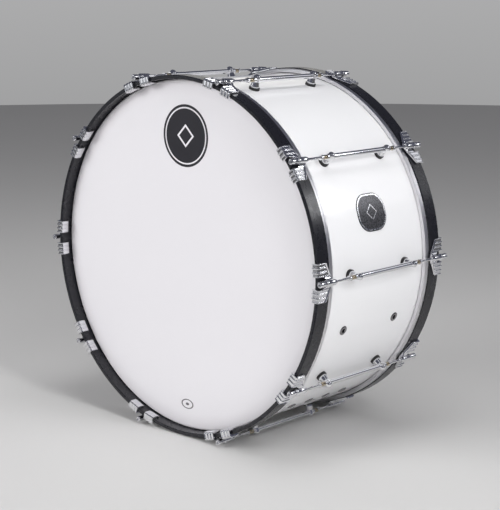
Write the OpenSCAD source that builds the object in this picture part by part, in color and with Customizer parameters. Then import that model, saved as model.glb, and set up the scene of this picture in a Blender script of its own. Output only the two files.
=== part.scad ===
// Marching bass drum lying on its side: laminated shell, two heads held by wooden
// counter hoops, double-jaw claws, tension rods and tube lugs, carrier eyelets, badge.
// Units are millimetres. The drum axis runs along Y, the batter side faces -Y,
// Z is up and the floor is Z = 0.

/* [Shell] */
// Outside diameter of the shell
shell_d = 760; // [600:1:900]
// Depth of the shell between its bearing edges
shell_depth = 355.6; // [300:0.1:420]
// Thickness of the laminated wall
shell_wall = 7.5; // [6:0.1:9]
// Distance of the bearing edge's peak from the outer face
edge_inset = 2; // [1.5:0.1:3]

/* [Hoops] */
// Width of a counter hoop along the drum axis
hoop_w = 35.3; // [32:0.1:42]
// Radial thickness of a counter hoop
hoop_wall = 8.5; // [7:0.1:10]
// Radial gap between the shell and the counter hoop
hoop_gap = 3.5; // [3.2:0.1:5]
// How deep the head lies behind the hoop's open face
head_recess = 26; // [22:0.1:28]
// Rounding of the counter hoop's corners
hoop_round = 1.6; // [0.5:0.1:3]
// Width of the metal flesh hoop along the drum axis
flesh_w = 12.2; // [10:0.1:16]

/* [Claws] */
// Width of one claw jaw around the hoop
jaw_w = 27.3; // [20:0.1:30]
// Gap between the two jaws of a claw
jaw_gap = 24.9; // [18:0.1:28]
// Thickness of the claw casting over the hoop
claw_t = 3.2; // [2.5:0.1:4]
// Thickness of the rubber liner under each jaw
liner_t = 0.8; // [0.5:0.1:1.2]
// How far the inner lip reaches down inside the hoop
lip_depth = 16; // [10:0.1:20]
// Outside diameter of the claw's rod barrel
barrel_d = 14; // [12:0.1:15]

/* [Lugs] */
// Distance between the two posts of a lug
post_pitch = 183; // [150:1:200]
// Height of the tension rods above the shell
rod_offset = 22; // [21:0.1:24]
// Diameter of the rubber gasket under each post
gasket_d = 23; // [20:0.1:26]
// Thickness of that gasket
gasket_t = 5; // [3:0.1:6]
// Diameter of the tube between the posts
tube_d = 11.4; // [10.4:0.1:12]

/* [Tension rods] */
// Diameter of the rod's shank
rod_d = 5.56; // [5:0.01:6]
// Radial clearance between the rod and its insert
rod_fit = 0.06; // [0.02:0.01:0.1]
// Diameter of the rod's round head
rod_head_d = 12.6; // [11:0.1:13]
// How far the rod head stands out past the hoop's open face
rod_head_out = 9; // [4:0.1:12]
// Across-flats size of the key socket in the rod head
socket_af = 5; // [4:0.1:6]

/* [Fittings] */
// Outside diameter of an eyelet's flange
eyelet_flange_d = 20.6; // [18:0.1:23]
// Diameter of the hole through an eyelet
eyelet_bore_d = 8.4; // [6.6:0.1:9]
// Distance between neighbouring eyelets in the row of four
eyelet_pitch = 57.2; // [50:0.1:60]
// Length of the badge along the drum axis
badge_l = 92; // [70:1:100]
// Height of the badge round the shell
badge_h = 80; // [70:1:90]

/* [Hidden] */
$fn = 128;
// Number of lugs round the shell, as many as there are rod nodes at each end.
lug_count = 10;
shell_r = shell_d / 2;
shell_in_r = shell_r - shell_wall;
half_shell = shell_depth / 2;
face_z = half_shell + head_recess;
hoop_in_r = shell_r + hoop_gap;
hoop_r = hoop_in_r + hoop_wall;
hoop_back_z = face_z - hoop_w;

flesh_fit = 1.8;
flesh_in_r = shell_r + flesh_fit;
flesh_step = 2;
flesh_r = hoop_r - flesh_step;
flesh_back_z = hoop_back_z - flesh_w;
flesh_round = 0.8;
groove_share = 0.45;
groove_r = 0.7;
film_t = 0.3;
film_lift = 0.3;
film_z = half_shell + film_lift;
film_turn = 0.1;
bend_in = 1;
bend_out = 1.2;
skirt_drop = 3.6;
skirt_r = flesh_in_r + 1.1;
skirt_z = flesh_back_z + 4;

// Extra length that carries a cut clear of the solid it is taken from.
cut = 1;
wall_cut = 5;

rod_r = shell_r + rod_offset;
sector = 360 / lug_count;
post_z = post_pitch / 2;
bulb_r = 7.4;
bulb_rise = 4.2;
bulb_at = rod_r + bulb_rise;
foot_r = shell_r + gasket_t;
foot_half_w = 9.4;
foot_h = 3;
cone_h = 9;
neck_z = foot_r + foot_h + cone_h;
boss_r = 6.4;
boss_half = 11.5;
gasket_sink = 4;
insert_r = 4.4;
insert_l = 43;
insert_out = 18;
insert_collar_r = 5.4;
insert_collar_t = 5;
insert_out_z = post_z + boss_half + insert_out;
tube_fit = 0.1;
rod_bore_r = rod_d / 2 + rod_fit;
screw_r = 2.5;
screw_reach = 7;
screw_head_r = 4.6;
screw_head_h = 3.6;
lug_washer_r = 7.5;
lug_washer_t = 1.4;
// Room between the flat underside of a washer or nut and the curved wall.
wall_room = 0.2;
washer_back_r = shell_in_r - wall_room - lug_washer_t;

plate_in_r = hoop_r + liner_t;
plate_r = plate_in_r + claw_t;
lip_out_r = hoop_in_r - liner_t;
lip_sag = 0.3;
lip_in_r = lip_out_r - lip_sag - claw_t;
front_in_z = face_z + liner_t;
front_z = front_in_z + claw_t;
jaw_corner = 3;
rib_h = 1.2;
rib_half_w = 1.7;
rib_places = [-0.43, -0.165, 0.165, 0.43];
jaw_deg = jaw_w / hoop_r * 180 / PI;
jaw_mid_deg = (jaw_gap + jaw_w) / 2 / hoop_r * 180 / PI;
hub_t = -(jaw_gap + jaw_w) / 2;
barrel_r = barrel_d / 2;
barrel_front_z = face_z - 12;
barrel_l = 30;
barrel_back_z = barrel_front_z - barrel_l;
nose_l = 3;
nose_r = 5;
nose_z = barrel_back_z + nose_l;
web_half_w = 5.5;
washer_t = 1.2;
rod_washer_r = 6.8;
rod_clear_r = rod_d / 2 + 0.42;
head_base_z = barrel_front_z + washer_t + 0.3;
head_tip_z = face_z + rod_head_out;
head_chamfer = 1.5;
collar_h = 2;
collar_out = 0.6;
socket_l = 7;
rod_engage = 46.5;
rod_tip_z = insert_out_z - rod_engage;

badge_deg = 17.8;
badge_corner = 34;
badge_t = 0.9;
badge_rim_t = 1.7;
badge_rim_inset = 2.2;
badge_rim_w = 2.4;
mark_half = 17;
mark_line = 2.2;
single_pair_deg = -18.4;
row_deg = -54.3;
row_z = [-1.5 * eyelet_pitch, -0.5 * eyelet_pitch, 0.5 * eyelet_pitch, 1.5 * eyelet_pitch];
pair_z = [-1.5 * eyelet_pitch, 1.5 * eyelet_pitch];
eyelet_flange_r = eyelet_flange_d / 2;
eyelet_tube_r = eyelet_bore_d / 2 + 1.4;
eyelet_tail = 4.5;
eyelet_seat_r = shell_r + 0.1;
eyelet_edge_t = 0.6;
eyelet_dome_h = 2.2;
eyelet_nut_r = eyelet_tube_r + 4.6;
eyelet_nut_t = 3;

// The drum stands on the lug posts either side of its lowest point.
axis_z = max(hoop_r, bulb_at * cos(sector / 2) + bulb_r);

// ---- placement helpers ----
// Parts are drawn with the drum axis along Z and the batter side towards +Z.

module lay_down() {
  translate([0, 0, axis_z]) rotate([90, 0, 0]) children();
}

module lay_down_mirrored() {
  lay_down() mirror([0, 0, 1]) children();
}

module around() {
  for (i = [0 : lug_count - 1]) rotate([0, 0, i * sector]) children();
}

module both_ends() {
  children();
  mirror([0, 0, 1]) children();
}

// Turns a part drawn along +Z so that it points outward from the shell.
module outward(deg, z) {
  rotate([0, 0, deg]) translate([0, 0, z]) rotate([0, 90, 0]) children();
}

// Draws a flat outline (tangent, axis) and gives it a radial thickness.
module slab(r0, r1) {
  translate([r0, 0, 0]) rotate([90, 0, 90]) linear_extrude(r1 - r0) children();
}

module ring(r0, r1, z0, z1) {
  translate([0, 0, z0]) difference() {
    cylinder(h = z1 - z0, r = r1);
    translate([0, 0, -cut]) cylinder(h = z1 - z0 + 2 * cut, r = r0);
  }
}

// Rectangle with its two upper corners rounded.
module round_top(w, h, r) {
  square([w, h - r]);
  translate([r, 0]) square([w - 2 * r, h]);
  translate([r, h - r]) circle(r, $fn = 48);
  translate([w - r, h - r]) circle(r, $fn = 48);
}

// Rectangle with all four corners rounded.
module round_rect(w, h, r) {
  translate([0, r]) square([w, h - 2 * r]);
  translate([r, 0]) square([w - 2 * r, h]);
  for (x = [r, w - r]) {
    for (y = [r, h - r]) translate([x, y]) circle(r, $fn = 48);
  }
}

// ---- shell and what is fixed to it ----

module wall_hole(r) {
  translate([0, 0, shell_in_r - wall_cut]) cylinder(h = shell_wall + 2 * wall_cut, r = r, $fn = 32);
}

module shell() {
  peak_r = shell_r - edge_inset;
  bevel = peak_r - shell_in_r;
  color("white") lay_down() difference() {
    rotate_extrude($fn = 240) polygon([
      [shell_in_r, -half_shell + bevel],
      [peak_r, -half_shell],
      [shell_r, -half_shell + edge_inset],
      [shell_r, half_shell - edge_inset],
      [peak_r, half_shell],
      [shell_in_r, half_shell - bevel]
    ]);
    around() both_ends() outward(0, post_z) wall_hole(screw_r);
    all_eyelets() wall_hole(eyelet_tube_r);
  }
}

module lug_gaskets() {
  color("black") lay_down() difference() {
    around() both_ends() outward(0, post_z) {
      translate([0, 0, shell_r - gasket_sink]) {
        cylinder(h = gasket_sink + gasket_t, r = gasket_d / 2, $fn = 64);
      }
    }
    cylinder(h = shell_depth, r = shell_r, center = true, $fn = 240);
    around() both_ends() outward(0, post_z) {
      translate([0, 0, shell_r - gasket_sink - cut]) {
        cylinder(h = gasket_sink + gasket_t + 2 * cut, r = screw_r, $fn = 32);
      }
    }
  }
}

// One post: foot, neck, rounded end and the socket that holds tube and insert.
module post() {
  difference() {
    union() {
      outward(0, post_z) {
        translate([0, 0, foot_r]) cylinder(h = foot_h, r = foot_half_w, $fn = 64);
        translate([0, 0, foot_r + foot_h]) cylinder(h = cone_h, r1 = foot_half_w, r2 = bulb_r, $fn = 64);
        translate([0, 0, neck_z]) cylinder(h = bulb_at - neck_z, r = bulb_r, $fn = 64);
        translate([0, 0, bulb_at]) sphere(r = bulb_r, $fn = 64);
      }
      translate([rod_r, 0, post_z - boss_half]) cylinder(h = 2 * boss_half, r = boss_r, $fn = 64);
    }
    translate([rod_r, 0, post_z - boss_half - cut]) {
      cylinder(h = 2 * (boss_half + cut), r = insert_r, $fn = 48);
    }
    outward(0, post_z) translate([0, 0, foot_r - cut]) {
      cylinder(h = screw_reach + 2 * cut, r = screw_r, $fn = 32);
    }
  }
}

module lug_posts() {
  color("silver") lay_down() around() both_ends() post();
}

module lug_tubes() {
  tube_half = post_z - boss_half;
  color("silver") lay_down() around() translate([rod_r, 0, -tube_half]) difference() {
    cylinder(h = 2 * tube_half, r = tube_d / 2, $fn = 64);
    translate([0, 0, -cut]) cylinder(h = 2 * (tube_half + cut), r = insert_r + tube_fit, $fn = 48);
  }
}

module lug_inserts() {
  color("goldenrod") lay_down() around() both_ends() {
    translate([rod_r, 0, insert_out_z - insert_l]) difference() {
      union() {
        cylinder(h = insert_l, r = insert_r, $fn = 48);
        translate([0, 0, insert_l - insert_collar_t]) {
          cylinder(h = insert_collar_t, r = insert_collar_r, $fn = 48);
        }
      }
      translate([0, 0, -cut]) cylinder(h = insert_l + 2 * cut, r = rod_bore_r, $fn = 48);
    }
  }
}

module lug_screws() {
  color("gray") lay_down() around() both_ends() outward(0, post_z) {
    translate([0, 0, washer_back_r - screw_head_h]) cylinder(h = screw_head_h, r = screw_head_r, $fn = 6);
    translate([0, 0, washer_back_r - cut]) {
      cylinder(h = foot_r + screw_reach - washer_back_r + cut, r = screw_r, $fn = 32);
    }
  }
}

module lug_washers() {
  color("gray") lay_down() around() both_ends() outward(0, post_z) {
    translate([0, 0, washer_back_r]) difference() {
      cylinder(h = lug_washer_t, r = lug_washer_r, $fn = 48);
      translate([0, 0, -cut]) cylinder(h = lug_washer_t + 2 * cut, r = screw_r, $fn = 32);
    }
  }
}

module all_eyelets() {
  for (z = row_z) outward(row_deg, z) children();
  for (z = pair_z) outward(single_pair_deg, z) children();
}

// Domed ring with a straight bore, drawn as a section to the right of the bore's axis.
module eyelet_section() {
  lip_r = eyelet_bore_d / 2;
  dome_mid = (lip_r + eyelet_flange_r) / 2;
  dome_half = eyelet_flange_r - dome_mid;
  polygon(concat(
    [[lip_r, shell_in_r - eyelet_tail], [eyelet_tube_r, shell_in_r - eyelet_tail]],
    [[eyelet_tube_r, eyelet_seat_r], [eyelet_flange_r, eyelet_seat_r]],
    [for (a = [0 : 20 : 160])
      [dome_mid + dome_half * cos(a), shell_r + eyelet_edge_t + (eyelet_dome_h - eyelet_edge_t) * sin(a)]],
    [[lip_r, shell_r + eyelet_edge_t]]
  ));
}

module eyelets() {
  color("gray") lay_down() all_eyelets() rotate_extrude($fn = 64) eyelet_section();
}

module eyelet_nuts() {
  color("gray") lay_down() all_eyelets() {
    translate([0, 0, shell_in_r - wall_room - eyelet_nut_t]) difference() {
      cylinder(h = eyelet_nut_t, r = eyelet_nut_r, $fn = 6);
      translate([0, 0, -cut]) cylinder(h = eyelet_nut_t + 2 * cut, r = eyelet_tube_r, $fn = 48);
    }
  }
}

// Badge outline, drawn flat and pulled in from the edge by an inset.
module badge_outline(inset) {
  translate([-badge_h / 2 + inset, -badge_l / 2 + inset]) {
    round_rect(badge_h - 2 * inset, badge_l - 2 * inset, badge_corner - inset);
  }
}

module diamond(half) {
  polygon([[half, 0], [0, half], [-half, 0], [0, -half]]);
}

// Flat drawing of the raised lines: a rim near the edge and a diamond in the middle.
module badge_lines() {
  difference() {
    badge_outline(badge_rim_inset);
    badge_outline(badge_rim_inset + badge_rim_w);
  }
  difference() {
    diamond(mark_half);
    diamond(mark_half - mark_line);
  }
}

module badge() {
  color("dimgray") lay_down() rotate([0, 0, badge_deg]) {
    intersection() {
      ring(shell_r, shell_r + badge_t, -badge_l, badge_l, $fn = 240);
      slab(shell_in_r, rod_r) badge_outline(0);
    }
    intersection() {
      ring(shell_r + badge_t / 2, shell_r + badge_rim_t, -badge_l, badge_l, $fn = 240);
      slab(shell_in_r, rod_r) badge_lines();
    }
  }
}

// ---- one end: head, hoops, claws and rods ----

module counter_hoop() {
  rotate_extrude($fn = 240) translate([hoop_in_r, hoop_back_z]) {
    round_rect(hoop_wall, hoop_w, hoop_round);
  }
}

// Extruded metal ring with a groove round its outside and a slot for the film.
module flesh_hoop() {
  groove_z = flesh_back_z + flesh_w * groove_share;
  rotate_extrude($fn = 240) difference() {
    translate([flesh_in_r, flesh_back_z]) round_rect(flesh_r - flesh_in_r, flesh_w, flesh_round);
    translate([flesh_r, groove_z]) circle(groove_r, $fn = 24);
    translate([skirt_r - film_t, skirt_z]) square([film_t, flesh_w]);
  }
}

// Film: flat over the bearing edge, bent down round it and held by a straight skirt.
module head() {
  flat_r = shell_r - bend_in;
  bend_r = shell_r + bend_out;
  bend_z = film_z - bend_out;
  drop_z = film_z - skirt_drop;
  rotate_extrude($fn = 240) polygon([
    [0, film_z],
    [flat_r, film_z],
    [bend_r, bend_z],
    [skirt_r - film_t, drop_z],
    [skirt_r - film_t, skirt_z],
    [skirt_r, skirt_z],
    [skirt_r, drop_z + film_turn],
    [bend_r + 2 * film_turn, bend_z + 2 * film_turn],
    [flat_r + film_turn, film_z + film_t],
    [0, film_z + film_t]
  ]);
}

// Section of a jaw: over the hoop's outside, across its face and down its inside.
module jaw_section(extra) {
  difference() {
    translate([lip_in_r, face_z - lip_depth]) {
      round_top(plate_r - lip_in_r + extra, front_z - face_z + lip_depth + extra, jaw_corner);
    }
    translate([lip_out_r - lip_sag, face_z - lip_depth - cut]) {
      square([plate_in_r - lip_out_r + lip_sag, front_in_z - face_z + lip_depth + cut]);
    }
  }
}

module liner_section() {
  difference() {
    translate([lip_out_r, face_z - lip_depth]) {
      square([plate_in_r - lip_out_r, front_in_z - face_z + lip_depth]);
    }
    translate([hoop_in_r, face_z - lip_depth - cut]) square([hoop_wall, lip_depth + cut]);
  }
}

// Draws its content for both jaws, each turned to face the hoop squarely.
module jaw_pair() {
  for (k = [0, 1]) mirror([0, k, 0]) rotate([0, 0, jaw_mid_deg]) children();
}

// Stretches a jaw section along the hoop, between two distances from the jaw's middle.
module along_jaw(t0, t1) {
  translate([0, t1, 0]) rotate([90, 0, 0]) linear_extrude(t1 - t0) children();
}

// Outline of one half of the outer plate, from its jaw back to the rod barrel.
module half_outline() {
  side_trim = 0.4;
  out_t = jaw_w / 2 - side_trim;
  in_t = -jaw_w / 2;
  front = face_z - 1;
  rear = face_z - 20;
  shoulder = face_z - 32;
  arch = face_z - 15;
  arch_side = face_z - 5;
  polygon([
    [in_t, front], [out_t, front], [out_t - 1, rear],
    [hub_t + 14, shoulder], [hub_t + 8, nose_z], [hub_t, nose_z],
    [hub_t, arch], [hub_t + 6, arch], [in_t, arch_side]
  ]);
}

// Raised flange from a jaw's rear corner to the rod barrel.
module claw_gusset() {
  side_trim = 1.4;
  flange_w = 3.2;
  flange_h = 3.2;
  root = 1;
  out_t = jaw_w / 2 - side_trim;
  slab(plate_in_r + root, plate_r + flange_h) polygon([
    [out_t, face_z - 20], [out_t - flange_w, face_z - 19.4], [hub_t + 12.6, face_z - 28.6],
    [hub_t + 4, face_z - 33], [hub_t + 4, face_z - 38], [hub_t + 14, face_z - 32]
  ]);
}

module claw() {
  difference() {
    union() {
      jaw_pair() {
        slab(plate_in_r, plate_r) half_outline();
        along_jaw(-jaw_w / 2, jaw_w / 2) jaw_section(0);
        for (t = rib_places) {
          along_jaw(jaw_w * t - rib_half_w, jaw_w * t + rib_half_w) jaw_section(rib_h);
        }
        claw_gusset();
      }
      translate([plate_in_r + 0.4, -web_half_w, nose_z]) {
        cube([rod_r - plate_in_r, 2 * web_half_w, barrel_l - nose_l]);
      }
      translate([rod_r, 0, nose_z]) cylinder(h = barrel_l - nose_l, r = barrel_r, $fn = 64);
      translate([rod_r, 0, barrel_back_z]) cylinder(h = nose_l, r1 = nose_r, r2 = barrel_r, $fn = 64);
    }
    translate([rod_r, 0, barrel_back_z - cut]) cylinder(h = 2 * barrel_l, r = rod_clear_r, $fn = 48);
  }
}

module claw_liner() {
  for (k = [0, 1]) mirror([0, k, 0]) rotate([0, 0, jaw_mid_deg - jaw_deg / 2]) {
    rotate_extrude(angle = jaw_deg, $fn = 240) liner_section();
  }
}

module rod_washer() {
  translate([rod_r, 0, barrel_front_z]) difference() {
    cylinder(h = washer_t, r = rod_washer_r, $fn = 48);
    translate([0, 0, -cut]) cylinder(h = washer_t + 2 * cut, r = rod_clear_r, $fn = 48);
  }
}

module rod() {
  head_l = head_tip_z - head_base_z;
  head_r = rod_head_d / 2;
  translate([rod_r, 0, rod_tip_z]) cylinder(h = head_base_z - rod_tip_z + 1, r = rod_d / 2, $fn = 48);
  translate([rod_r, 0, head_base_z]) difference() {
    union() {
      cylinder(h = collar_h, r = head_r + collar_out, $fn = 64);
      cylinder(h = head_l - head_chamfer, r = head_r, $fn = 64);
      translate([0, 0, head_l - head_chamfer]) {
        cylinder(h = head_chamfer, r1 = head_r, r2 = head_r - head_chamfer, $fn = 64);
      }
    }
    translate([0, 0, head_l - socket_l]) cylinder(h = socket_l + cut, r = socket_af / 2 / cos(30), $fn = 6);
  }
}

module batter_hoop() { color("black") lay_down() counter_hoop(); }
module batter_flesh_hoop() { color("lightgray") lay_down() flesh_hoop(); }
module batter_head() { color("whitesmoke") lay_down() head(); }
module batter_claws() { color("silver") lay_down() around() claw(); }
module batter_claw_liners() { color("black") lay_down() around() claw_liner(); }
module batter_rod_washers() { color("silver") lay_down() around() rod_washer(); }
module batter_rod(n) { color("silver") lay_down() rotate([0, 0, (n - 1) * sector]) rod(); }

module resonant_hoop() { color("black") lay_down_mirrored() counter_hoop(); }
module resonant_flesh_hoop() { color("lightgray") lay_down_mirrored() flesh_hoop(); }
module resonant_head() { color("whitesmoke") lay_down_mirrored() head(); }
module resonant_claws() { color("silver") lay_down_mirrored() around() claw(); }
module resonant_claw_liners() { color("black") lay_down_mirrored() around() claw_liner(); }
module resonant_rod_washers() { color("silver") lay_down_mirrored() around() rod_washer(); }
module resonant_rod(n) { color("silver") lay_down_mirrored() rotate([0, 0, (n - 1) * sector]) rod(); }

shell();
lug_gaskets();
lug_posts();
lug_tubes();
lug_inserts();
lug_screws();
lug_washers();
eyelets();
eyelet_nuts();
badge();
batter_hoop();
batter_flesh_hoop();
batter_head();
batter_claws();
batter_claw_liners();
batter_rod_washers();
resonant_hoop();
resonant_flesh_hoop();
resonant_head();
resonant_claws();
resonant_claw_liners();
resonant_rod_washers();
batter_rod(1);  // batter_rod_01
batter_rod(2);  // batter_rod_02
batter_rod(3);  // batter_rod_03
batter_rod(4);  // batter_rod_04
batter_rod(5);  // batter_rod_05
batter_rod(6);  // batter_rod_06
batter_rod(7);  // batter_rod_07
batter_rod(8);  // batter_rod_08
batter_rod(9);  // batter_rod_09
batter_rod(10);  // batter_rod_10
resonant_rod(1);  // resonant_rod_01
resonant_rod(2);  // resonant_rod_02
resonant_rod(3);  // resonant_rod_03
resonant_rod(4);  // resonant_rod_04
resonant_rod(5);  // resonant_rod_05
resonant_rod(6);  // resonant_rod_06
resonant_rod(7);  // resonant_rod_07
resonant_rod(8);  // resonant_rod_08
resonant_rod(9);  // resonant_rod_09
resonant_rod(10);  // resonant_rod_10
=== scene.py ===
"""Looks for the marching bass drum: materials, detailed pieces, studio and camera."""
import math

import bmesh
import bpy
from mathutils import Matrix, Vector


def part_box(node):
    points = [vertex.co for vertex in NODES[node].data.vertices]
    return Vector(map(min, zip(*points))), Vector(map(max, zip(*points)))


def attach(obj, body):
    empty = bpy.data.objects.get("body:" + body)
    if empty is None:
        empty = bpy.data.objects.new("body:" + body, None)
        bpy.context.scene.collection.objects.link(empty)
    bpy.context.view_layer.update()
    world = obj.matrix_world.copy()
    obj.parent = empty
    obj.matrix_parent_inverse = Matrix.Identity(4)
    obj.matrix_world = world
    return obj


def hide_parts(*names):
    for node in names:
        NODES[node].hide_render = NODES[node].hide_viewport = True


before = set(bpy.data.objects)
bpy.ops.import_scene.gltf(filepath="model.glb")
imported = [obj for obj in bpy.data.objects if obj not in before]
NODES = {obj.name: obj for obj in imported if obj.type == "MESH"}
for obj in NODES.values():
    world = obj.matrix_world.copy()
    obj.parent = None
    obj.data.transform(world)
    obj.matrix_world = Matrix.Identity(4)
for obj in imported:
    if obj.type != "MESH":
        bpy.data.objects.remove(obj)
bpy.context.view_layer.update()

ENDS = ("batter", "resonant")

# ---- sizes taken from the frame, in metres ----
HOOP_LOW, HOOP_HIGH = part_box("batter_hoop")
HOOP_R = (HOOP_HIGH.x - HOOP_LOW.x) / 2
AXIS_Z = (HOOP_HIGH.z + HOOP_LOW.z) / 2
FACE_Y = HOOP_LOW.y
SHELL_LOW, SHELL_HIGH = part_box("shell")
SHELL_R = (SHELL_HIGH.x - SHELL_LOW.x) / 2
HEAD_LOW, HEAD_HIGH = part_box("batter_head")
FILM_R = (HEAD_HIGH.x - HEAD_LOW.x) / 2
MM = 0.001
HOOP_IN_R = HOOP_R - 8.5 * MM
ROD_LOW, ROD_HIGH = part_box("batter_rod_01")
ROD_R = (ROD_LOW.x + ROD_HIGH.x) / 2
ROD_HEAD_R = (ROD_HIGH.x - ROD_LOW.x) / 2
ROD_TIP_Z = -ROD_HIGH.y
ROD_HEAD_Z = -ROD_LOW.y
FACE_Z = -FACE_Y
LUG_COUNT = 10
INSERT_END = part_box("lug_inserts")[1].y
BEVEL_ANGLE = 28.0
CRISP_ANGLE = 50
INSERT_COLLAR_T = 5 * MM
GROOVE_HALF_PITCH = 1.9 * MM
PLY_T = 1.25 * MM

# ---- printed marks on the batter head: heights above the drum axis, radii and line widths ----
MARK_UP = 262 * MM
MARK_R = 67 * MM
MARK_RING_R = MARK_R - 7.2 * MM
MARK_RING_HALF = 1.6 * MM
DIAMOND_R = 22 * MM
DIAMOND_HALF = 3 * MM
OVAL_UP = -329 * MM
OVAL_HALF_W = 18.5 * MM
OVAL_HALF_H = 11 * MM


# ---- node-tree helpers ----

def socket_set(tree, socket, value):
    """Links a socket to another socket, or sets it to a plain value."""
    if isinstance(value, bpy.types.NodeSocket):
        tree.links.new(value, socket)
    else:
        socket.default_value = value


def add(tree, kind, inputs=None, out=0, **settings):
    """Adds a shader node, fills its inputs by name or number, and returns one output."""
    made = tree.nodes.new("ShaderNode" + kind)
    for key, value in settings.items():
        setattr(made, key, value)
    for key, value in (inputs or {}).items():
        socket_set(tree, made.inputs[key], value)
    return made.outputs[out]


def math_node(tree, operation, a, b=0.0):
    """One arithmetic step."""
    return add(tree, "Math", {0: a, 1: b}, operation=operation)


def remap(tree, value, low, high, to_low, to_high):
    """A value brought from one range to another, clamped at both ends."""
    inputs = {"Value": value, "From Min": low, "From Max": high, "To Min": to_low, "To Max": to_high}
    return add(tree, "MapRange", inputs)


def mix_colour(tree, factor, a, b):
    """Colour a at factor zero and b at factor one."""
    made = tree.nodes.new("ShaderNodeMix")
    made.data_type = "RGBA"
    socket_set(tree, made.inputs["Factor"], factor)
    socket_set(tree, made.inputs["A"], a)
    socket_set(tree, made.inputs["B"], b)
    return made.outputs["Result"]


def noise(tree, where, scale, detail=3.0, rough=0.5):
    """Cloudy noise from 0 to 1."""
    inputs = {"Vector": where, "Scale": scale, "Detail": detail, "Roughness": rough}
    return add(tree, "TexNoise", inputs)


def stretched(tree, where, scale):
    """Coordinates scaled by a different amount along each axis."""
    return add(tree, "Mapping", {"Vector": where, "Scale": scale})


def bump(tree, height, strength, distance):
    """Shading normal for a fine relief."""
    return add(tree, "Bump", {"Height": height, "Strength": strength, "Distance": distance})


def start_material(name):
    """A new material with its tree, its Principled shader and its object coordinates."""
    mat = bpy.data.materials.new(name)
    mat.use_nodes = True
    tree = mat.node_tree
    shader = tree.nodes["Principled BSDF"]
    where = add(tree, "TexCoord", out=3)
    return mat, tree, shader, where


def coordinates(tree, where):
    """The three parts of a vector."""
    parts = tree.nodes.new("ShaderNodeSeparateXYZ")
    tree.links.new(where, parts.inputs[0])
    return tuple(parts.outputs)


def distance_node(tree, a, b):
    """Length of the vector (a, b)."""
    first = math_node(tree, "MULTIPLY", a, a)
    second = math_node(tree, "MULTIPLY", b, b)
    return math_node(tree, "SQRT", math_node(tree, "ADD", first, second))


def band_node(tree, value, middle, half):
    """One where the value lies within half of the middle, and zero elsewhere."""
    inside = math_node(tree, "COMPARE", value, middle)
    inside.node.inputs[2].default_value = half
    return inside


def drum_polar(tree, where):
    """Radius from the drum axis, distance along the axis, sideways and up, and the unrolled shell."""
    x, along, z = coordinates(tree, where)
    up = math_node(tree, "SUBTRACT", z, AXIS_Z)
    radius = distance_node(tree, x, up)
    angle = math_node(tree, "ARCTAN2", up, x)
    around = math_node(tree, "MULTIPLY", angle, SHELL_R)
    unrolled = add(tree, "CombineXYZ", {0: around, 1: along, 2: radius})
    return radius, along, x, up, unrolled


# ---- materials ----

def shell_material():
    """Gloss white lacquer outside, clear-sealed maple inside and on the bearing edges."""
    mat, tree, shader, where = start_material("shell_lacquer_and_maple")
    radius, *_, unrolled = drum_polar(tree, where)
    outside = remap(tree, radius, SHELL_R - 0.6 * MM, SHELL_R - 0.2 * MM, 0.0, 1.0)
    grain_a = noise(tree, stretched(tree, unrolled, (3.0, 60.0, 60.0)), 2.2, 6.0, 0.62)
    grain_b = noise(tree, stretched(tree, unrolled, (10.0, 420.0, 420.0)), 1.6, 3.0, 0.5)
    plies = math_node(tree, "PINGPONG", math_node(tree, "SUBTRACT", radius, SHELL_R), PLY_T)
    ply_shade = remap(tree, plies, 0.0, PLY_T, 0.78, 1.05)
    light_maple = (0.73, 0.54, 0.34, 1.0)
    dark_maple = (0.50, 0.31, 0.16, 1.0)
    maple = mix_colour(tree, remap(tree, grain_a, 0.35, 0.68, 0.0, 1.0), light_maple, dark_maple)
    fine = mix_colour(tree, remap(tree, grain_b, 0.45, 0.75, 0.0, 0.45), maple, (0.40, 0.24, 0.12, 1.0))
    shaded = add(tree, "VectorMath", {0: fine, "Scale": ply_shade}, operation="SCALE")
    cloud = noise(tree, where, 3.0, 2.0)
    white = mix_colour(tree, cloud, (0.865, 0.865, 0.885, 1.0), (0.895, 0.895, 0.905, 1.0))
    socket_set(tree, shader.inputs["Base Color"], mix_colour(tree, outside, shaded, white))
    smear = noise(tree, where, 14.0, 4.0)
    gloss = remap(tree, smear, 0.3, 0.7, 0.05, 0.11)
    rough = math_node(tree, "MULTIPLY", remap(tree, outside, 0.0, 1.0, 5.0, 1.0), gloss)
    socket_set(tree, shader.inputs["Roughness"], rough)
    peel = noise(tree, where, 160.0, 2.0)
    relief = mix_colour(tree, outside, grain_b, peel)
    socket_set(tree, shader.inputs["Normal"], bump(tree, relief, 0.10, 0.0002))
    shader.inputs["IOR"].default_value = 1.5
    return mat


def hoop_material():
    """Black lacquer over bent maple: satin, with a faint grain running round the hoop."""
    mat, tree, shader, where = start_material("hoop_black_lacquer")
    unrolled = drum_polar(tree, where)[-1]
    grain = noise(tree, stretched(tree, unrolled, (6.0, 260.0, 260.0)), 1.6, 4.0, 0.55)
    dust = noise(tree, where, 60.0, 4.0)
    tone = mix_colour(tree, grain, (0.006, 0.006, 0.009, 1.0), (0.012, 0.012, 0.016, 1.0))
    socket_set(tree, shader.inputs["Base Color"], tone)
    socket_set(tree, shader.inputs["Roughness"], remap(tree, dust, 0.3, 0.7, 0.24, 0.33))
    socket_set(tree, shader.inputs["Normal"], bump(tree, grain, 0.12, 0.0003))
    shader.inputs["IOR"].default_value = 1.46
    shader.inputs["Coat Weight"].default_value = 0.12
    shader.inputs["Coat Roughness"].default_value = 0.18
    return mat


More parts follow.
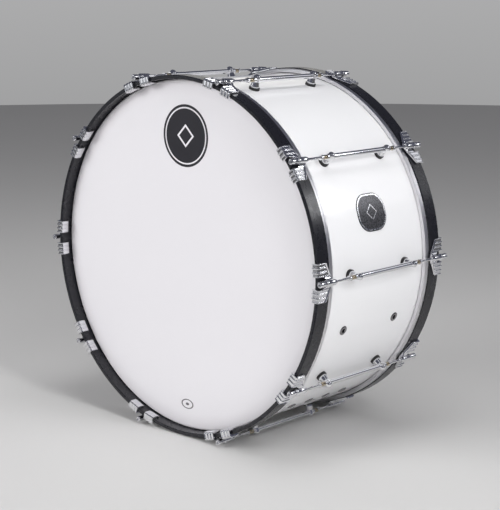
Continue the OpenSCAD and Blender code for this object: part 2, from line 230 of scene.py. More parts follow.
def big_mark(tree, x, up):
    """Ink of the upper mark: a dark disc with a pale ring and a pale diamond outline left in it."""
    from_mark = math_node(tree, "SUBTRACT", up, MARK_UP)
    from_centre = distance_node(tree, x, from_mark)
    disc = math_node(tree, "LESS_THAN", from_centre, MARK_R)
    ring = band_node(tree, from_centre, MARK_RING_R, MARK_RING_HALF)
    sideways = math_node(tree, "ABSOLUTE", x)
    diamond_sum = math_node(tree, "ADD", sideways, math_node(tree, "ABSOLUTE", from_mark))
    diamond = band_node(tree, diamond_sum, DIAMOND_R, DIAMOND_HALF)
    pale = math_node(tree, "MAXIMUM", ring, diamond)
    return math_node(tree, "MAXIMUM", math_node(tree, "SUBTRACT", disc, pale), 0.0)


def small_mark(tree, x, up):
    """Ink of the lower mark: an oval line with a dot in it."""
    wide = math_node(tree, "DIVIDE", x, OVAL_HALF_W)
    tall = math_node(tree, "DIVIDE", math_node(tree, "SUBTRACT", up, OVAL_UP), OVAL_HALF_H)
    oval = distance_node(tree, wide, tall)
    line = band_node(tree, oval, 0.90, 0.10)
    return math_node(tree, "MAXIMUM", line, math_node(tree, "LESS_THAN", oval, 0.28))


def film_material():
    """White head film with a darker band of painted shade near its rim, over the collar, and two plain
    printed marks.
    """
    mat, tree, shader, where = start_material("head_film_white")
    radius, along, x, up = drum_polar(tree, where)[:4]
    cloud = noise(tree, where, 2.4, 3.0)
    base = mix_colour(tree, cloud, (0.760, 0.745, 0.775, 1.0), (0.800, 0.785, 0.810, 1.0))
    # painted shade: the film is coloured darker towards its rim, standing in for the hoop's shadow on
    # the collar
    collar = remap(tree, radius, FILM_R - 34 * MM, FILM_R - 6 * MM, 0.0, 0.32)
    soft = mix_colour(tree, collar, base, (0.60, 0.57, 0.60, 1.0))
    front_only = math_node(tree, "LESS_THAN", along, 0.0)
    big = math_node(tree, "MULTIPLY", big_mark(tree, x, up), front_only)
    inked = mix_colour(tree, big, soft, (0.020, 0.019, 0.024, 1.0))
    small = math_node(tree, "MULTIPLY", small_mark(tree, x, up), front_only)
    marked = mix_colour(tree, small, inked, (0.13, 0.12, 0.13, 1.0))
    socket_set(tree, shader.inputs["Base Color"], marked)
    mist = noise(tree, where, 900.0, 2.0)
    socket_set(tree, shader.inputs["Roughness"], remap(tree, mist, 0.3, 0.7, 0.34, 0.44))
    socket_set(tree, shader.inputs["Normal"], bump(tree, mist, 0.05, 0.0001))
    return mat


def metal_material(name, tint, rough_low, rough_high, scale=26.0, relief=0.03, stretch=(1.0, 1.0, 1.0)):
    """Metal with slight smears in its gloss and a barely uneven surface."""
    mat, tree, shader, where = start_material(name)
    smear = noise(tree, stretched(tree, where, stretch), scale, 4.0, 0.55)
    darker = tuple(c * 0.93 for c in tint) + (1.0,)
    tone = mix_colour(tree, smear, tint + (1.0,), darker)
    socket_set(tree, shader.inputs["Base Color"], tone)
    socket_set(tree, shader.inputs["Roughness"], remap(tree, smear, 0.3, 0.7, rough_low, rough_high))
    socket_set(tree, shader.inputs["Normal"], bump(tree, smear, relief, 0.0003))
    shader.inputs["Metallic"].default_value = 1.0
    return mat


def flesh_material():
    """Satin extruded aluminium with fine lines round the ring."""
    mat, tree, shader, where = start_material("flesh_hoop_aluminium")
    unrolled = drum_polar(tree, where)[-1]
    lines = noise(tree, stretched(tree, unrolled, (4.0, 2400.0, 2400.0)), 1.0, 3.0, 0.6)
    tone = mix_colour(tree, lines, (0.88, 0.87, 0.88, 1.0), (0.76, 0.75, 0.78, 1.0))
    socket_set(tree, shader.inputs["Base Color"], tone)
    socket_set(tree, shader.inputs["Roughness"], remap(tree, lines, 0.3, 0.7, 0.32, 0.44))
    socket_set(tree, shader.inputs["Normal"], bump(tree, lines, 0.08, 0.0002))
    shader.inputs["Metallic"].default_value = 1.0
    return mat


def rubber_material():
    """Black rubber with a faint bloom and a gritty surface."""
    mat, tree, shader, where = start_material("gasket_rubber")
    grit = noise(tree, where, 700.0, 3.0)
    bloom = noise(tree, where, 40.0, 3.0)
    tone = mix_colour(tree, bloom, (0.016, 0.016, 0.017, 1.0), (0.030, 0.029, 0.030, 1.0))
    socket_set(tree, shader.inputs["Base Color"], tone)
    socket_set(tree, shader.inputs["Roughness"], remap(tree, bloom, 0.3, 0.7, 0.55, 0.72))
    socket_set(tree, shader.inputs["Normal"], bump(tree, grit, 0.15, 0.0003))
    return mat


def badge_material():
    """Dark painted field inside a bright polished rim."""
    mat, tree, shader, where = start_material("badge_plate")
    radius = drum_polar(tree, where)[0]
    rim = remap(tree, radius, SHELL_R + 1.3 * MM, SHELL_R + 1.5 * MM, 0.0, 1.0)
    fleck = noise(tree, where, 300.0, 3.0)
    field = mix_colour(tree, fleck, (0.060, 0.060, 0.066, 1.0), (0.090, 0.090, 0.098, 1.0))
    socket_set(tree, shader.inputs["Base Color"], mix_colour(tree, rim, field, (0.82, 0.82, 0.84, 1.0)))
    socket_set(tree, shader.inputs["Metallic"], remap(tree, rim, 0.0, 1.0, 0.55, 1.0))
    socket_set(tree, shader.inputs["Roughness"], remap(tree, fleck, 0.3, 0.7, 0.22, 0.34))
    socket_set(tree, shader.inputs["Normal"], bump(tree, fleck, 0.08, 0.0002))
    return mat


def insert_material():
    """Turned brass sleeve with cut grooves, coloured darker at their bottoms as painted shade, and a
    plated collar at its outer end.
    """
    mat, tree, shader, where = start_material("insert_brass")
    along = math_node(tree, "ABSOLUTE", coordinates(tree, where)[1])
    collar = remap(tree, along, INSERT_END - 5.2 * MM, INSERT_END - INSERT_COLLAR_T, 0.0, 1.0)
    groove = math_node(tree, "PINGPONG", along, GROOVE_HALF_PITCH)
    depth = remap(tree, groove, 0.3 * MM, 1.2 * MM, 0.0, 1.0)
    tarnish = noise(tree, where, 240.0, 3.0)
    bright = mix_colour(tree, tarnish, (0.84, 0.75, 0.57, 1.0), (0.74, 0.63, 0.44, 1.0))
    # painted shade: the groove bottoms are coloured dark brown
    brass = mix_colour(tree, depth, (0.30, 0.22, 0.14, 1.0), bright)
    plated = mix_colour(tree, collar, brass, (0.86, 0.86, 0.88, 1.0))
    socket_set(tree, shader.inputs["Base Color"], plated)
    flat_depth = mix_colour(tree, collar, depth, (1.0, 1.0, 1.0, 1.0))
    socket_set(tree, shader.inputs["Normal"], bump(tree, flat_depth, 0.7, 0.0006))
    socket_set(tree, shader.inputs["Roughness"], remap(tree, tarnish, 0.3, 0.7, 0.10, 0.20))
    shader.inputs["Metallic"].default_value = 1.0
    return mat


def dress(node, mat, bevel=0.0):
    """Gives a CAD node its material and, if asked, softly rounded edges."""
    obj = NODES[node]
    obj.data.materials.clear()
    obj.data.materials.append(mat)
    if bevel:
        soft = obj.modifiers.new("soft_edges", "BEVEL")
        soft.width = bevel
        soft.segments = 3
        soft.limit_method = "ANGLE"
        soft.angle_limit = math.radians(BEVEL_ANGLE)
        soft.harden_normals = True


CHROME = metal_material("chrome_plate", (0.90, 0.90, 0.92), 0.035, 0.075)
ROD_CHROME = metal_material("rod_chrome", (0.86, 0.86, 0.88), 0.06, 0.12, scale=60.0)
INSERT_MAT = insert_material()
ZINC = metal_material("zinc_plate", (0.62, 0.62, 0.65), 0.28, 0.40, scale=160.0, relief=0.06)
NICKEL = metal_material("eyelet_black_nickel", (0.32, 0.31, 0.32), 0.10, 0.20, scale=140.0)
SHELL_MAT = shell_material()
HOOP_MAT = hoop_material()
FILM_MAT = film_material()
FLESH_MAT = flesh_material()
RUBBER = rubber_material()
BADGE_MAT = badge_material()

SMALL_BEVEL = 0.2 * MM
PLAIN_BEVEL = 0.3 * MM
SOFT_BEVEL = 0.6 * MM

dress("shell", SHELL_MAT)
dress("lug_gaskets", RUBBER, SOFT_BEVEL)
dress("lug_posts", CHROME)
dress("lug_tubes", CHROME)
dress("lug_inserts", INSERT_MAT, PLAIN_BEVEL)
dress("lug_screws", ZINC, PLAIN_BEVEL)
dress("lug_washers", ZINC, SMALL_BEVEL)
dress("eyelets", NICKEL, PLAIN_BEVEL)
dress("eyelet_nuts", ZINC, PLAIN_BEVEL)
dress("badge", BADGE_MAT, PLAIN_BEVEL)
for end in ENDS:
    dress(end + "_hoop", HOOP_MAT)
    dress(end + "_flesh_hoop", FLESH_MAT)
    dress(end + "_head", FILM_MAT)
    dress(end + "_claw_liners", RUBBER)
    dress(end + "_rod_washers", ZINC, SMALL_BEVEL)


# ---- mesh helpers: parts are drawn at angle 0 of the batter end, z pointing out of it ----

def smoothstep(low, high, value):
    """Rises smoothly from 0 at low to 1 at high."""
    share = min(1.0, max(0.0, (value - low) / (high - low)))
    return share * share * (3 - 2 * share)


def arc(centre, radius, start, end, steps):
    """Points on an arc in a section plane, angles in degrees, both ends included."""
    points = []
    for i in range(steps + 1):
        angle = math.radians(start + (end - start) * i / steps)
        points.append((centre[0] + radius * math.cos(angle), centre[1] + radius * math.sin(angle)))
    return points


WELD_DISTANCE = 0.002 * MM


class Sheet:
    """Collects vertices and faces of one mesh."""

    def __init__(self):
        self.points = []
        self.faces = []

    def grid(self, rows, wrap_rows=False, wrap_columns=False, flip=False):
        """Joins rows of points, all of one length, into quads."""
        base = len(self.points)
        wide = len(rows[0])
        for row in rows:
            self.points.extend(row)
        for j in range(len(rows) - (0 if wrap_rows else 1)):
            for i in range(wide - (0 if wrap_columns else 1)):
                a = base + j * wide + i
                b = base + j * wide + (i + 1) % wide
                c = base + (j + 1) % len(rows) * wide + (i + 1) % wide
                d = base + (j + 1) % len(rows) * wide + i
                self.faces.append((d, c, b, a) if flip else (a, b, c, d))

    def turned(self, profile, axis_r, segments=40, close=True):
        """Turns a profile of (radius, z) about the line at axis_r parallel to the drum axis."""
        rows = []
        for k in range(segments):
            angle = 2 * math.pi * k / segments
            rows.append([(axis_r + r * math.cos(angle), r * math.sin(angle), z) for r, z in profile])
        self.grid(rows, wrap_rows=True, flip=True)

    def side_wall(self, rows, column, outer_count):
        """Closes one side of a skin whose first rows are the outer face and whose rest are the inner."""
        outer = [row[column] for row in rows[:outer_count]]
        inner = [row[column] for row in rows[outer_count:]][::-1]
        ladder = []
        for i, point in enumerate(outer):
            share = i / (len(outer) - 1) * (len(inner) - 1)
            k = min(int(share), len(inner) - 2)
            f = share - k
            low = tuple(a + (b - a) * f for a, b in zip(inner[k], inner[k + 1]))
            ladder.append([point, low])
        self.grid(ladder)

    def mesh(self, name, mat):
        """Makes the mesh, welded and smooth shaded."""
        made = bpy.data.meshes.new(name)
        made.from_pydata(self.points, [], self.faces)
        made.materials.append(mat)
        made.validate()
        work = bmesh.new()
        work.from_mesh(made)
        bmesh.ops.remove_doubles(work, verts=work.verts, dist=WELD_DISTANCE)
        bmesh.ops.recalc_face_normals(work, faces=work.faces)
        work.to_mesh(made)
        work.free()
        for face in made.polygons:
            face.use_smooth = True
        return made


def laid_down(number, end):
    """Matrix from the drawing frame to the drum lying down, for lug 1..10 of an end."""
    side = 1.0 if end == "batter" else -1.0
    lay = Matrix(((1, 0, 0, 0), (0, 0, -side, 0), (0, 1, 0, AXIS_Z), (0, 0, 0, 1)))
    turn = Matrix.Rotation(math.radians((number - 1) * 360 / LUG_COUNT), 4, "Z")
    return lay @ turn


def place(name, mesh, matrix, body):
    """Adds a piece that moves with a body."""
    obj = bpy.data.objects.new(name, mesh)
    obj.matrix_world = matrix
    bpy.context.scene.collection.objects.link(obj)
    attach(obj, body)
    return obj


def sharpen(obj, angle):
    """Splits shading at edges sharper than the angle, in degrees."""
    edges = obj.modifiers.new("crisp_edges", "EDGE_SPLIT")
    edges.split_angle = math.radians(angle)


# ---- claws ----
JAW_W = 27.3 * MM
JAW_GAP = 24.9 * MM
CLAW_T = 3.2 * MM
LINER_T = 0.8 * MM
LIP_DEPTH = 16 * MM
PLATE_IN_R = HOOP_R + LINER_T
PLATE_R = PLATE_IN_R + CLAW_T
LIP_OUT_R = HOOP_IN_R - LINER_T - 0.3 * MM
LIP_IN_R = LIP_OUT_R - CLAW_T
FRONT_IN_Z = FACE_Z + LINER_T
FRONT_Z = FRONT_IN_Z + CLAW_T
JAW_TURN = (JAW_GAP + JAW_W) / 2 / HOOP_R
JAW_COLUMNS = 89
PLATE_ROWS = 26
INNER_ROWS = 9
PLATE_DEPTH = 21.5 * MM
REAR_CHAMFER = 1.5 * MM
REAR_SLOPE = 0.45
SIDE_START_Z = FACE_Z - 14 * MM
HUB_T = -(JAW_GAP + JAW_W) / 2
CORNER = 3.4 * MM
RIDGE_PITCH = 9.1 * MM
RIDGE_H = 2.0 * MM
EDGE_ROUND = 1.3 * MM
FLANGE_H = 1.9 * MM
BARREL_R = 7 * MM
BARREL_FRONT_Z = FACE_Z - 12 * MM
BARREL_BACK_Z = FACE_Z - 42 * MM
BARREL_BORE_R = 3.2 * MM
BRIDGE_START_T = -JAW_W / 2 + 2.5 * MM
BRIDGE_COLUMNS = 22
BRIDGE_ROWS = 20
BRIDGE_FRONT_Z = FACE_Z - 11 * MM
BRIDGE_SET_BACK = 8.0 * MM
BRIDGE_RISE = 5.2 * MM
BRIDGE_FLANGE_H = 1.7 * MM


def ridge(t):
    """Height of the ridges across a jaw: two narrow crests, two rims and three flat pockets."""
    from_crest = abs((t % RIDGE_PITCH) - RIDGE_PITCH / 2)
    return RIDGE_H * (1 - smoothstep(0.7 * MM, 2.1 * MM, from_crest))


def rounded_drop(distance, radius):
    """How far a rounded edge falls below its surface at some distance from the side."""
    if distance >= radius:
        return 0.0
    rest = radius - max(distance, 0.0)
    return radius - math.sqrt(max(radius * radius - rest * rest, 0.0))


def rear_edge(t):
    """Where the outer plate ends towards the shell, at tangential distance t."""
    out_t = JAW_W / 2
    if t > out_t - REAR_CHAMFER:
        return FACE_Z - PLATE_DEPTH + (t - out_t + REAR_CHAMFER)
    slope = (FACE_Z - PLATE_DEPTH) - (out_t - REAR_CHAMFER - t) * REAR_SLOPE
    return max(slope, BARREL_BACK_Z + 4 * MM)


def jaw_corner(centre, radius, start, end, steps, share):
    """Rows round an arc of a jaw's section, with their normals."""
    rows = []
    for r, z in arc(centre, radius, start, end, steps):
        rows.append((r, z, (r - centre[0]) / radius, (z - centre[1]) / radius, share))
    return rows


def jaw_rows():
    """Section of a jaw as (r, z, normal_r, normal_z, share) from the lip's tip to the outer plate."""
    half = CLAW_T / 2
    tip_z = FACE_Z - LIP_DEPTH + half
    rows = jaw_corner((LIP_IN_R + half, tip_z), half, 360, 180, 10, 0.0)
    climb = FRONT_Z - CORNER - tip_z
    for i in range(1, 12):
        z = tip_z + climb * i / 12
        rows.append((LIP_IN_R, z, -1.0, 0.0, smoothstep(0, 4 * MM, z - tip_z)))
    centre = (LIP_IN_R + CORNER, FRONT_Z - CORNER)
    rows += jaw_corner(centre, CORNER, 180, 90, 8, 1.0)
    cross = PLATE_R - CORNER - centre[0]
    for i in range(1, 7):
        rows.append((centre[0] + cross * i / 7, FRONT_Z, 0.0, 1.0, 1.0))
    rows += jaw_corner((PLATE_R - CORNER, FRONT_Z - CORNER), CORNER, 90, 0, 10, 1.0)
    return rows


def jaw_front_point(t, row):
    """A point on the lip or the front of a jaw, raised by its ridges and rounded at its sides."""
    r, z, nr, nz, share = row
    height = ridge(t) * share - rounded_drop(JAW_W / 2 - abs(t), EDGE_ROUND)
    return r + nr * height, t, z + nz * height


def jaw_plate_point(t, share):
    """A point on the outer plate of a jaw, from its front corner (0) to its rear edge (1)."""
    start_z = FRONT_Z - CORNER
    rear = rear_edge(t)
    z = start_z + (rear - start_z) * share
    from_rear = z - rear
    pockets = smoothstep(4.4 * MM, 6.4 * MM, from_rear)
    flange = FLANGE_H * (1 - smoothstep(2.8 * MM, 4.4 * MM, from_rear))
    side = JAW_W / 2 - abs(t) if t > 0 or z > SIDE_START_Z else EDGE_ROUND
    height = max(ridge(t) * pockets, flange) - rounded_drop(side, EDGE_ROUND)
    return PLATE_R + height - rounded_drop(from_rear, EDGE_ROUND), t, z


def build_jaw(sheet, mirror):
    """One jaw: lip, front and outer plate, with its ridges, pockets and raised rear flange."""
    last = JAW_COLUMNS - 1
    ts = [-JAW_W / 2 + JAW_W * i / last for i in range(JAW_COLUMNS)]
    outer = [[jaw_front_point(t, row) for t in ts] for row in jaw_rows()]
    for j in range(1, PLATE_ROWS + 1):
        outer.append([jaw_plate_point(t, j / PLATE_ROWS) for t in ts])
    inner = []
    for j in range(INNER_ROWS):
        share = 1 - j / (INNER_ROWS - 1)
        inner.append([(PLATE_IN_R, t, FRONT_IN_Z + (rear_edge(t) - FRONT_IN_Z) * share) for t in ts])
    inner.append([(LIP_OUT_R, t, FRONT_IN_Z) for t in ts])
    inner.append(list(outer[0]))
    spun = [[turned_by(point, mirror) for point in row] for row in outer + inner]
    sheet.grid(spun, flip=mirror < 0)
    for edge in (0, last):
        sheet.side_wall(spun, edge, len(outer))


def bridge_height(t, front, rear, z):
    """How far the bridge stands above the outer plate's face."""
    rise = BRIDGE_RISE * smoothstep(15 * MM, 25 * MM, -t)
    along = 1 - smoothstep(2.6 * MM, 4.2 * MM, z - rear)
    fade = 1 - smoothstep(20 * MM, 25 * MM, -t)
    return rise + BRIDGE_FLANGE_H * along * fade - rounded_drop(min(front - z, z - rear), 1.4 * MM)


def build_bridge(sheet, mirror):
    """The part of the casting that rises from one jaw's rear to the rod barrel."""
    top = []
    low = []
    for j in range(BRIDGE_ROWS + 1):
        row = []
        under = []
        for i in range(BRIDGE_COLUMNS + 1):
            t = BRIDGE_START_T + (HUB_T - BRIDGE_START_T) * i / BRIDGE_COLUMNS
            front = BRIDGE_FRONT_Z - BRIDGE_SET_BACK * smoothstep(14.5 * MM, 20.5 * MM, -t)
            rear = min(rear_edge(t), front - 6 * MM)
            z = front + (rear - front) * j / BRIDGE_ROWS
            height = bridge_height(t, front, rear, z)
            row.append(turned_by((PLATE_R + height - 0.05 * MM, t, z), mirror))
            under.append(turned_by((PLATE_IN_R, t, z), mirror))
        top.append(row)
        low.append(under)
    sheet.grid(top, flip=mirror < 0)
    sheet.grid(low, flip=mirror > 0)
    for j in (0, BRIDGE_ROWS):
        sheet.grid([top[j], low[j]])
    for i in (0, BRIDGE_COLUMNS):
        sheet.grid([[row[i] for row in top], [row[i] for row in low]])


def turned_by(point, mirror):
    """Moves a point of a jaw drawn at angle 0 to the jaw's own side of the claw."""
    r, t, z = point
    x = r * math.cos(JAW_TURN) - t * math.sin(JAW_TURN)
    y = r * math.sin(JAW_TURN) + t * math.cos(JAW_TURN)
    return x, y * mirror, z


def claw_mesh():
    """Double claw casting: two jaws, the bridge between them and the rod barrel."""
    sheet = Sheet()
    for mirror in (1, -1):
        build_jaw(sheet, mirror)
        build_bridge(sheet, mirror)
    back = BARREL_BACK_Z
    front = BARREL_FRONT_Z
    waist_r = BARREL_R - 0.5 * MM
    body_r = BARREL_R - 0.1 * MM
    edge = 0.8 * MM
    tail_r = 4.4 * MM
    profile = [(BARREL_BORE_R, back), (tail_r, back)]
    profile += arc((tail_r, back + edge), edge, -90, -20, 4)
    profile += [(waist_r, back + 5 * MM), (body_r, back + 7 * MM)]
    profile += [(body_r, front - 5 * MM), (waist_r, front - 4.2 * MM)]
    profile += [(waist_r, front - 3.4 * MM), (BARREL_R + 0.3 * MM, front - 2.8 * MM)]
    profile += arc((BARREL_R - 0.4 * MM, front - edge), edge, 0, 90, 5)
    profile += [(BARREL_BORE_R, front), (BARREL_BORE_R, back)]
    sheet.turned(profile, ROD_R)
    return sheet.mesh("claw_casting", CHROME)


# ---- tension rods ----

SHANK_R = 2.78 * MM
THREAD_ROOT_R = 2.30 * MM
THREAD_PITCH = 25.4 / 24 * MM
THREAD_L = 66 * MM
THREAD_STEPS = 16
COLLAR_Z = BARREL_FRONT_Z + 1.5 * MM
HEAD_R = ROD_HEAD_R - 0.6 * MM
SOCKET_R = 2.5 * MM
SOCKET_DEPTH = 7 * MM


def rod_profile():
    """Section of the key socket, the head, the collar and the shank."""
    top = ROD_HEAD_Z
    edge = 0.6 * MM
    crown = 2.2 * MM
    rim = ROD_HEAD_R - edge
    profile = [(0.0, top - SOCKET_DEPTH), (SOCKET_R - 0.2 * MM, top - SOCKET_DEPTH)]
    profile += [(SOCKET_R, top - 6.6 * MM), (SOCKET_R, top - 1.1 * MM), (3.1 * MM, top - 0.3 * MM)]
    profile += arc((3.6 * MM, top - 0.5 * MM), 0.5 * MM, 150, 90, 3)
    profile += arc((HEAD_R - crown, top - crown), crown, 90, 0, 8)
    profile += [(HEAD_R, COLLAR_Z + 3.4 * MM)]
    profile += arc((HEAD_R + 0.2 * MM, COLLAR_Z + 3 * MM), 0.35 * MM, 150, 90, 3)
    profile += arc((rim, COLLAR_Z + 2.0 * MM), edge, 90, 0, 4)
    profile += arc((rim, COLLAR_Z + edge), edge, 0, -90, 4)
    profile += [(SHANK_R, COLLAR_Z), (SHANK_R, ROD_TIP_Z + THREAD_L + 1 * MM)]
    profile += [(THREAD_ROOT_R, ROD_TIP_Z + THREAD_L + 0.3 * MM)]
    return profile


def thread_rows():
    """Rows across one helical thread that fades in and out at its ends."""
    rows = []
    steps = int(THREAD_L / THREAD_PITCH) * THREAD_STEPS
    for k in range(steps + 1):
        angle = 2 * math.pi * k / THREAD_STEPS
        base_z = ROD_TIP_Z + 1.2 * MM + THREAD_PITCH * k / THREAD_STEPS
        fade = smoothstep(0, 2 * THREAD_STEPS, k) * smoothstep(0, THREAD_STEPS, steps - k)
        crest = THREAD_ROOT_R + (SHANK_R - THREAD_ROOT_R) * fade
        row = []
        for r, share in ((THREAD_ROOT_R, 0.0), (crest, 0.38), (crest, 0.58), (THREAD_ROOT_R, 0.96)):
            z = base_z + share * THREAD_PITCH
            row.append((ROD_R + r * math.cos(angle), r * math.sin(angle), z))
        rows.append(row)
    return rows


def rod_mesh():
    """Rod with a collar, a rounded key head with its socket, a shank and a real helical thread."""
    sheet = Sheet()
    sheet.turned(rod_profile(), ROD_R, segments=32)
    sheet.grid(thread_rows())
    core_r = THREAD_ROOT_R - 0.02 * MM
    core = [(0.0, ROD_TIP_Z), (THREAD_ROOT_R - 0.5 * MM, ROD_TIP_Z), (core_r, ROD_TIP_Z + 0.5 * MM)]
    core += [(core_r, ROD_TIP_Z + THREAD_L + 0.6 * MM)]
    sheet.turned(core, ROD_R, segments=24)
    return sheet.mesh("tension_rod", ROD_CHROME)


def build_ends():
    """Places ten claws and ten rods at each end."""
    claw = claw_mesh()
    rod = rod_mesh()
    for end in ENDS:
        for number in range(1, LUG_COUNT + 1):
            where = laid_down(number, end)
            piece = place("%s_claw_%02d" % (end, number), claw, where, end + "_end")
            sharpen(piece, CRISP_ANGLE)
            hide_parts(end + "_claws")
            name = "%s_rod_%02d" % (end, number)
            piece = place("%s_tension" % name, rod, where, name + "_body")
            sharpen(piece, CRISP_ANGLE)
            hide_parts(name)


build_ends()

# ---- studio ----

BLACK = (0.0, 0.0, 0.0, 1.0)
ROOM_R = 7.0
ROOM_H = 3.8
RING_SEGMENTS = 96


def plain_material(name, tint, rough):
    """Matt paper with a faint cloud in its tone."""
    mat, tree, shader, where = start_material(name)
    cloud = noise(tree, where, 0.8, 2.0)
    darker = tuple(c * 0.985 for c in tint) + (1.0,)
    socket_set(tree, shader.inputs["Base Color"], mix_colour(tree, cloud, tint + (1.0,), darker))
    shader.inputs["Roughness"].default_value = rough
    shader.inputs["Specular IOR Level"].default_value = 0.0
    return mat


def flat_panel(name, centre, facing, width, height, mat):
    """A rectangular sheet centred on a point and facing another point."""
    mesh = bpy.data.meshes.new(name)
    corners = [(-width / 2, -height / 2, 0), (width / 2, -height / 2, 0),
               (width / 2, height / 2, 0), (-width / 2, height / 2, 0)]
    mesh.from_pydata(corners, [], [(0, 1, 2, 3)])
    mesh.materials.append(mat)
    obj = bpy.data.objects.new(name, mesh)
    obj.location = centre
    obj.rotation_euler = (Vector(facing) - Vector(centre)).to_track_quat("Z", "Y").to_euler()
    bpy.context.scene.collection.objects.link(obj)
    return obj


def softbox(name, centre, target, size, size_y, power):
    """A large soft light that brightens surfaces but isn't mirrored in the chrome."""
    data = bpy.data.lights.new(name, "AREA")
    data.shape = "RECTANGLE"
    data.size = size
    data.size_y = size_y
    data.energy = power
    obj = bpy.data.objects.new(name, data)
    obj.location = centre
    obj.rotation_euler = (Vector(target) - Vector(centre)).to_track_quat("-Z", "Y").to_euler()
    obj.visible_glossy = False
    bpy.context.scene.collection.objects.link(obj)


def mirror_only(obj):
    """Leaves a card to be seen in reflections alone."""
    obj.visible_camera = False
    obj.visible_shadow = False
    obj.visible_diffuse = False
    obj.visible_transmission = False


def make_glow(tree, shader, tint, level):
    """Turns a shader into light of one tint and a level that may vary over the surface."""
    socket_set(tree, shader.inputs["Base Color"], BLACK)
    socket_set(tree, shader.inputs["Emission Color"], tint + (1.0,))
    socket_set(tree, shader.inputs["Emission Strength"], level)
    shader.inputs["Specular IOR Level"].default_value = 0.0


def glow_material(name, tint, strength):
    """A slightly clouded glow."""
    mat, tree, shader, where = start_material(name)
    cloud = noise(tree, where, 1.5, 2.0)
    make_glow(tree, shader, tint, remap(tree, cloud, 0.3, 0.7, strength * 0.92, strength))
    return mat


def fading_floor_material(bright, dim, near, far):
    """Glow that fades outward, for the part of the floor that is only seen in reflections."""
    mat, tree, shader, where = start_material("far_floor_glow")
    x, y = coordinates(tree, where)[:2]
    level = remap(tree, distance_node(tree, x, y), near, far, bright, dim)
    make_glow(tree, shader, (0.97, 0.97, 1.0), level)
    return mat


def backdrop_material():
    """Pale paper wall drawn as a glow instead of being lit, its painted light growing brighter with
    height.
    """
    mat, tree, shader, where = start_material("backdrop_paper")
    height = coordinates(tree, where)[2]
    # painted light: the wall glows, more brightly higher up, rather than taking light from the lamps
    make_glow(tree, shader, (0.99, 0.99, 1.0), remap(tree, height, 0.0, 4.0, 0.36, 0.60))
    return mat


def round_band(name, inner, outer, mat):
    """A band between two rings of (radius, height) round the drum's middle."""
    rows = []
    for radius, height in (inner, outer):
        ring = []
        for k in range(RING_SEGMENTS):
            angle = 2 * math.pi * k / RING_SEGMENTS
            ring.append((radius * math.cos(angle), radius * math.sin(angle), height))
        rows.append(ring)
    sheet = Sheet()
    sheet.grid(rows, wrap_columns=True)
    obj = bpy.data.objects.new(name, sheet.mesh(name, mat))
    bpy.context.scene.collection.objects.link(obj)
    return obj


def dim_room():
    """Dim walls, ceiling and far floor that only the polished parts see."""
    wall_mat = glow_material("dim_wall", (0.74, 0.77, 1.0), 0.14)
    ceiling_mat = glow_material("dim_ceiling", (0.74, 0.77, 1.0), 0.11)
    floor_mat = fading_floor_material(0.60, 0.12, 1.2, 2.3)
    mirror_only(round_band("dim_room_wall", (ROOM_R, 0.02), (ROOM_R, ROOM_H), wall_mat))
    mirror_only(round_band("dim_room_ceiling", (0.01, ROOM_H), (ROOM_R, ROOM_H), ceiling_mat))
    mirror_only(round_band("dim_room_floor", (1.15, 0.012), (ROOM_R, 0.012), floor_mat))


def make_world():
    """A dim, almost even sky."""
    world = bpy.data.worlds.new("studio_world")
    world.use_nodes = True
    tree = world.node_tree
    back = tree.nodes["Background"]
    look = add(tree, "TexCoord", out=0)
    lift = remap(tree, coordinates(tree, look)[2], 0.0, 0.8, 0.0, 1.0)
    sky = mix_colour(tree, lift, (0.80, 0.80, 0.84, 1.0), (1.0, 1.0, 1.04, 1.0))
    socket_set(tree, back.inputs["Color"], sky)
    back.inputs["Strength"].default_value = 0.24
    bpy.context.scene.world = world


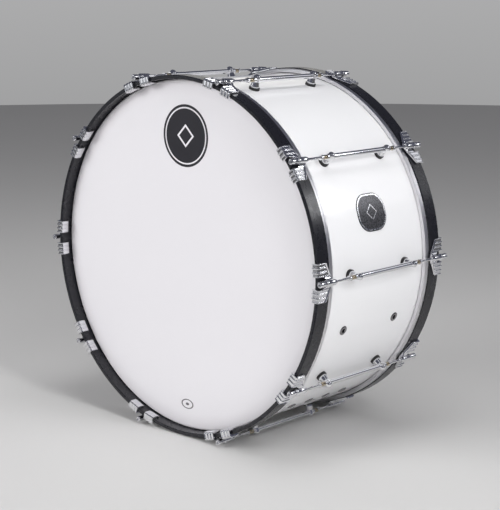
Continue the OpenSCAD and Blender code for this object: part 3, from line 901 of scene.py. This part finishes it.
def make_windows(middle):
    """Bright cards that only reflections show, as the windows and lamps of the room."""
    glow = glow_material("pale_window", (0.96, 0.98, 1.0), 1.05)
    soft_glow = glow_material("soft_window", (0.95, 0.96, 1.0), 0.80)
    cream = glow_material("cream_window", (1.0, 0.98, 0.94), 0.9)
    hot = glow_material("bright_window", (0.97, 0.98, 1.0), 8.0)
    near_target = (0.358, -0.2, 0.556)
    cards = (
        ("window_rear_right", (2.5, 3.2, 2.3), middle, 2.1, 1.6, soft_glow),
        ("window_rear_left", (-2.7, 3.3, 2.0), middle, 1.9, 1.3, cream),
        ("window_near", (1.24, 1.0, 1.10), near_target, 0.28, 0.30, hot),
        ("window_key", (2.83, -0.77, 2.01), middle, 0.6, 2.2, glow),
        ("window_front", (0.6, -5.0, 2.2), middle, 2.0, 1.2, glow),
        ("window_left", (-3.35, -3.6, 1.35), middle, 2.6, 1.9, glow),
    )
    for card in cards:
        mirror_only(flat_panel(*card))


def studio():
    """Pale floor and backdrop, soft lights, and the room seen in the polished parts."""
    bpy.context.scene.view_settings.view_transform = "Standard"
    make_world()
    floor_mat = plain_material("floor_paper", (0.64, 0.635, 0.63), 0.6)
    flat_panel("floor", (0, 0, 0), (0, 0, 1), 60.0, 60.0, floor_mat)
    middle = (0, 0, AXIS_Z)
    softbox("key_light", (2.79, -0.75, 1.99), middle, 0.6, 2.2, 51)
    softbox("top_light", (0.6, -0.3, 3.7), middle, 2.0, 1.2, 38)
    softbox("low_fill", (2.2, -1.6, 0.35), middle, 1.6, 0.6, 10)
    softbox("head_light", (-2.0, -3.8, 1.9), middle, 2.4, 2.0, 118)
    dim_room()
    make_windows(middle)
    backdrop = round_band("backdrop_paper", (9.0, 0.0), (9.0, 9.0), backdrop_material())
    backdrop.visible_shadow = False
    backdrop.visible_diffuse = False
    backdrop.visible_glossy = False


def photo_camera():
    """Camera with the reference view's direction, distance and lens angle."""
    azimuth = math.radians(42.89)
    elevation = math.radians(10.28)
    distance = 3.2034
    data = bpy.data.cameras.new("photo_camera")
    data.sensor_fit = "HORIZONTAL"
    data.sensor_width = 36.0
    data.lens = 102.564
    data.shift_x = 0.01466
    data.shift_y = -0.01784
    data.clip_end = 200.0
    obj = bpy.data.objects.new("photo_camera", data)
    away = Vector((math.sin(azimuth) * math.cos(elevation),
                   -math.cos(azimuth) * math.cos(elevation), math.sin(elevation)))
    obj.location = Vector((0, 0, AXIS_Z)) + away * distance
    obj.rotation_euler = (-away).to_track_quat("-Z", "Y").to_euler()
    bpy.context.scene.collection.objects.link(obj)
    bpy.context.scene.camera = obj


studio()
photo_camera()

bpy.context.view_layer.update()
